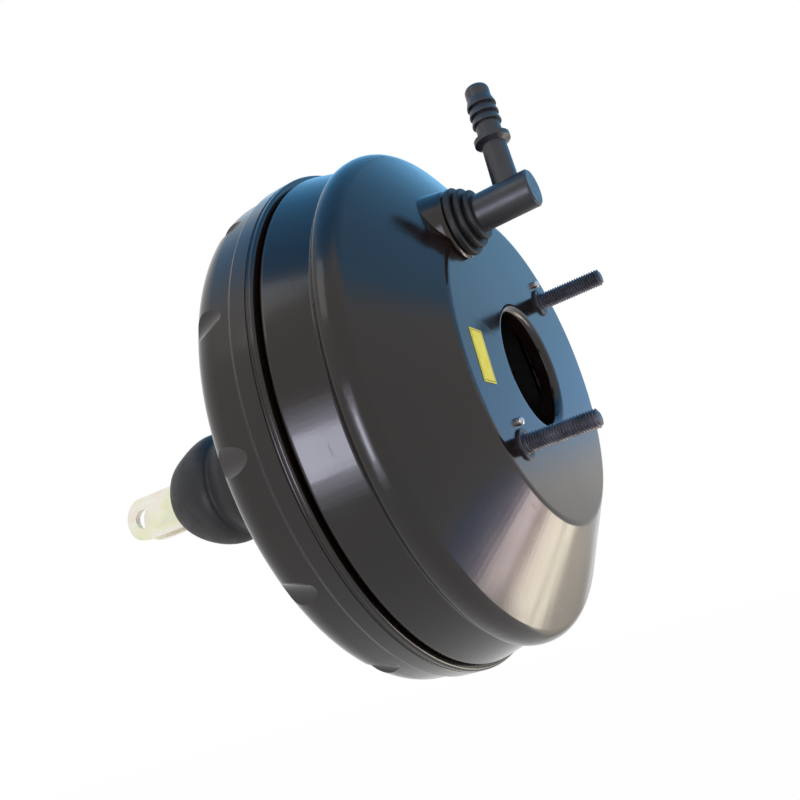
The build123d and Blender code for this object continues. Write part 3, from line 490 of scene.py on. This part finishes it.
def make_world():
    """White to the eye and to reflections, and a little lower as light."""
    light_level, seen_level = 0.8, 1.0
    world = bpy.data.worlds.new("Studio")
    bpy.context.scene.world = world
    world.use_nodes = True
    tree = world.node_tree
    back = tree.nodes["Background"]
    back.inputs["Color"].default_value = (1.0, 1.0, 1.0, 1.0)
    path = tree.nodes.new("ShaderNodeLightPath")
    parts = [path.outputs[n] for n in ("Is Camera Ray", "Is Glossy Ray", "Is Transmission Ray")]
    total = parts[0]
    for part in parts[1:]:
        node = tree.nodes.new("ShaderNodeMath")
        node.operation = "MAXIMUM"
        tree.links.new(total, node.inputs[0])
        tree.links.new(part, node.inputs[1])
        total = node.outputs[0]
    level = tree.nodes.new("ShaderNodeMapRange")
    level.inputs["To Min"].default_value = light_level
    level.inputs["To Max"].default_value = seen_level
    tree.links.new(total, level.inputs["Value"])
    tree.links.new(level.outputs["Result"], back.inputs["Strength"])


def sky_material(reach):
    """Blue light from above and from behind the face, clear elsewhere, so that the white room shows."""
    m = Mat("Blue_Sky")
    split = m.new("ShaderNodeSeparateXYZ")
    m.link(m.scaled((1 / reach, 1 / reach, 1 / reach)), split.inputs[0])
    rise = split.outputs["Z"]
    behind = m.math("ADD", m.math("MULTIPLY", split.outputs["X"], 0.4),
                    m.math("MULTIPLY", split.outputs["Y"], 0.69))
    side = m.span(m.math("ADD", rise, behind), 0.0, 1.0, 0.83, 0.95)
    top = m.span(rise, 0.0, 1.0, 0.74, 0.90)
    tint = m.ramp(
        rise, (0.10, (0.52, 0.49, 0.44)), (0.16, (0.18, 0.35, 0.58)), (0.30, (0.15, 0.29, 0.44)),
        (0.60, (0.12, 0.30, 0.50)), (0.95, (0.04, 0.17, 0.34)),
    )
    m.glow_where(m.math("MAXIMUM", side, top), tint, 3.0)
    return m.mat


def only_reflected(obj):
    """Part of the stage that reflections show, and that neither the camera nor the light sees."""
    obj.visible_camera = False
    obj.visible_diffuse = False
    obj.visible_shadow = False


def make_sky():
    """A dome that only reflections see."""
    reach, rings, count = 3.0, 24, 64
    verts = [(0, 0, reach)]
    for i in range(1, rings + 1):
        tilt = math.pi / 2 * i / rings
        for k in range(count):
            turn = 2 * math.pi * k / count
            wide = reach * math.sin(tilt)
            verts.append((wide * math.cos(turn), wide * math.sin(turn), reach * math.cos(tilt)))
    faces = ring_grid(rings, count, start=1) + [(0, 1 + k, 1 + (k + 1) % count) for k in range(count)]
    only_reflected(piece("Sky_Backdrop", verts, faces, sky_material(reach), None))


def streak_material(centre, start, end):
    """Silver and cream streaks that follow one another round the centre, from the start to the end angle."""
    m = Mat("Cream_Streaks")
    split = m.new("ShaderNodeSeparateXYZ")
    m.link(m.coords, split.inputs[0])
    turn = m.math("ARCTAN2", m.math("SUBTRACT", split.outputs["Y"], centre[1]),
                  m.math("SUBTRACT", split.outputs["X"], centre[0]))
    wave = m.math("MULTIPLY", m.math("SUBTRACT", m.noise(7.0, 2.0), 0.5), 0.05)
    place = m.span(m.math("ADD", turn, wave), 0.0, 1.0, start, end)
    tint = m.ramp(
        place, (0.06, (0.08, 0.10, 0.15)), (0.19, (0.22, 0.21, 0.26)), (0.24, (0.80, 0.66, 0.66)),
        (0.31, (0.86, 0.74, 0.72)), (0.37, (0.42, 0.32, 0.31)), (0.45, (0.90, 0.80, 0.68)),
        (0.57, (0.86, 0.77, 0.63)), (0.61, (0.42, 0.37, 0.30)), (0.64, (0.80, 0.73, 0.60)),
        (0.73, (0.20, 0.18, 0.155)), (0.95, (0.07, 0.065, 0.058)),
    )
    edge = m.math("SUBTRACT", split.outputs["Z"], m.span(turn, 0.0, 0.12, math.radians(62), math.radians(88)))
    lower = m.span(split.outputs["Z"], 0.0, 1.0, -0.45, -0.40)
    upper = m.span(edge, 1.0, 0.0, -0.27, -0.22)
    m.glow_where(m.math("MULTIPLY", lower, upper), tint, 10.0)
    return m.mat


def make_streaks():
    """A curved screen that only reflections see, low behind the cone."""
    centre, reach, count = (0.09, -0.04), 0.55, 32
    start, end = math.radians(15), math.radians(95)
    verts = []
    for z in (-0.495, -0.10):
        for k in range(count + 1):
            turn = start + (end - start) * k / count
            verts.append((centre[0] + reach * math.cos(turn), centre[1] + reach * math.sin(turn), z))
    faces = [(k, k + 1, count + 2 + k, count + 1 + k) for k in range(count)]
    only_reflected(piece("Cream_Backdrop", verts, faces, streak_material(centre, start, end), None))


def softbox(name, place, aim, size, colour, radiance, diffuse=True):
    """A soft area lamp whose face has the given radiance."""
    light = bpy.data.lights.new(name, "AREA")
    light.shape = "RECTANGLE"
    light.size, light.size_y = size
    light.color = colour
    light.energy = radiance * math.pi * size[0] * size[1]
    lamp = bpy.data.objects.new(name, light)
    bpy.context.scene.collection.objects.link(lamp)
    lamp.location = place
    lamp.rotation_euler = (Vector(aim) - Vector(place)).to_track_quat("-Z", "Y").to_euler()
    lamp.visible_camera = False
    lamp.visible_diffuse = diffuse


def make_camera():
    place = Vector((0.23394, -0.3859, -0.10151))
    aim = Vector((0.03249, 0.0128, 0.01262))
    roll = math.radians(15.296)
    data = bpy.data.cameras.new("Camera")
    data.lens = 42.716
    data.sensor_width = 36.0
    camera = bpy.data.objects.new("Camera", data)
    bpy.context.scene.collection.objects.link(camera)
    forward = (aim - place).normalized()
    right = forward.cross(Vector((0, 0, 1))).normalized()
    up = right.cross(forward)
    top = up * math.cos(roll) + right * math.sin(roll)
    side = forward.cross(top)
    turn = Matrix((side, top, -forward)).transposed().to_4x4()
    camera.matrix_world = Matrix.Translation(place) @ turn
    bpy.context.scene.camera = camera


make_floor()
make_world()
make_sky()
make_streaks()
softbox("Key_Softbox", (-0.5, -1.2, 1.3), (0, 0, 0), (0.8, 0.8), (1.0, 0.99, 0.98), 1.0)
violet_aim = (0.06, -0.11, -0.02)
for name, place, size, colour, radiance in (
        ("Violet_Card", (0.04, -0.55, -0.15), (0.13, 0.17), (0.82, 0.82, 1.0), 7.5),
        ("Violet_Fringe", (0.04, -0.56, -0.15), (0.24, 0.28), (0.80, 0.80, 1.0), 2.2),
        ("Violet_Rim", (0.04, -0.57, -0.15), (0.36, 0.40), (0.80, 0.80, 1.0), 1.2),
):
    softbox(name, place, violet_aim, size, colour, radiance, diffuse=False)
make_camera()
bpy.context.scene.view_settings.view_transform = "Standard"
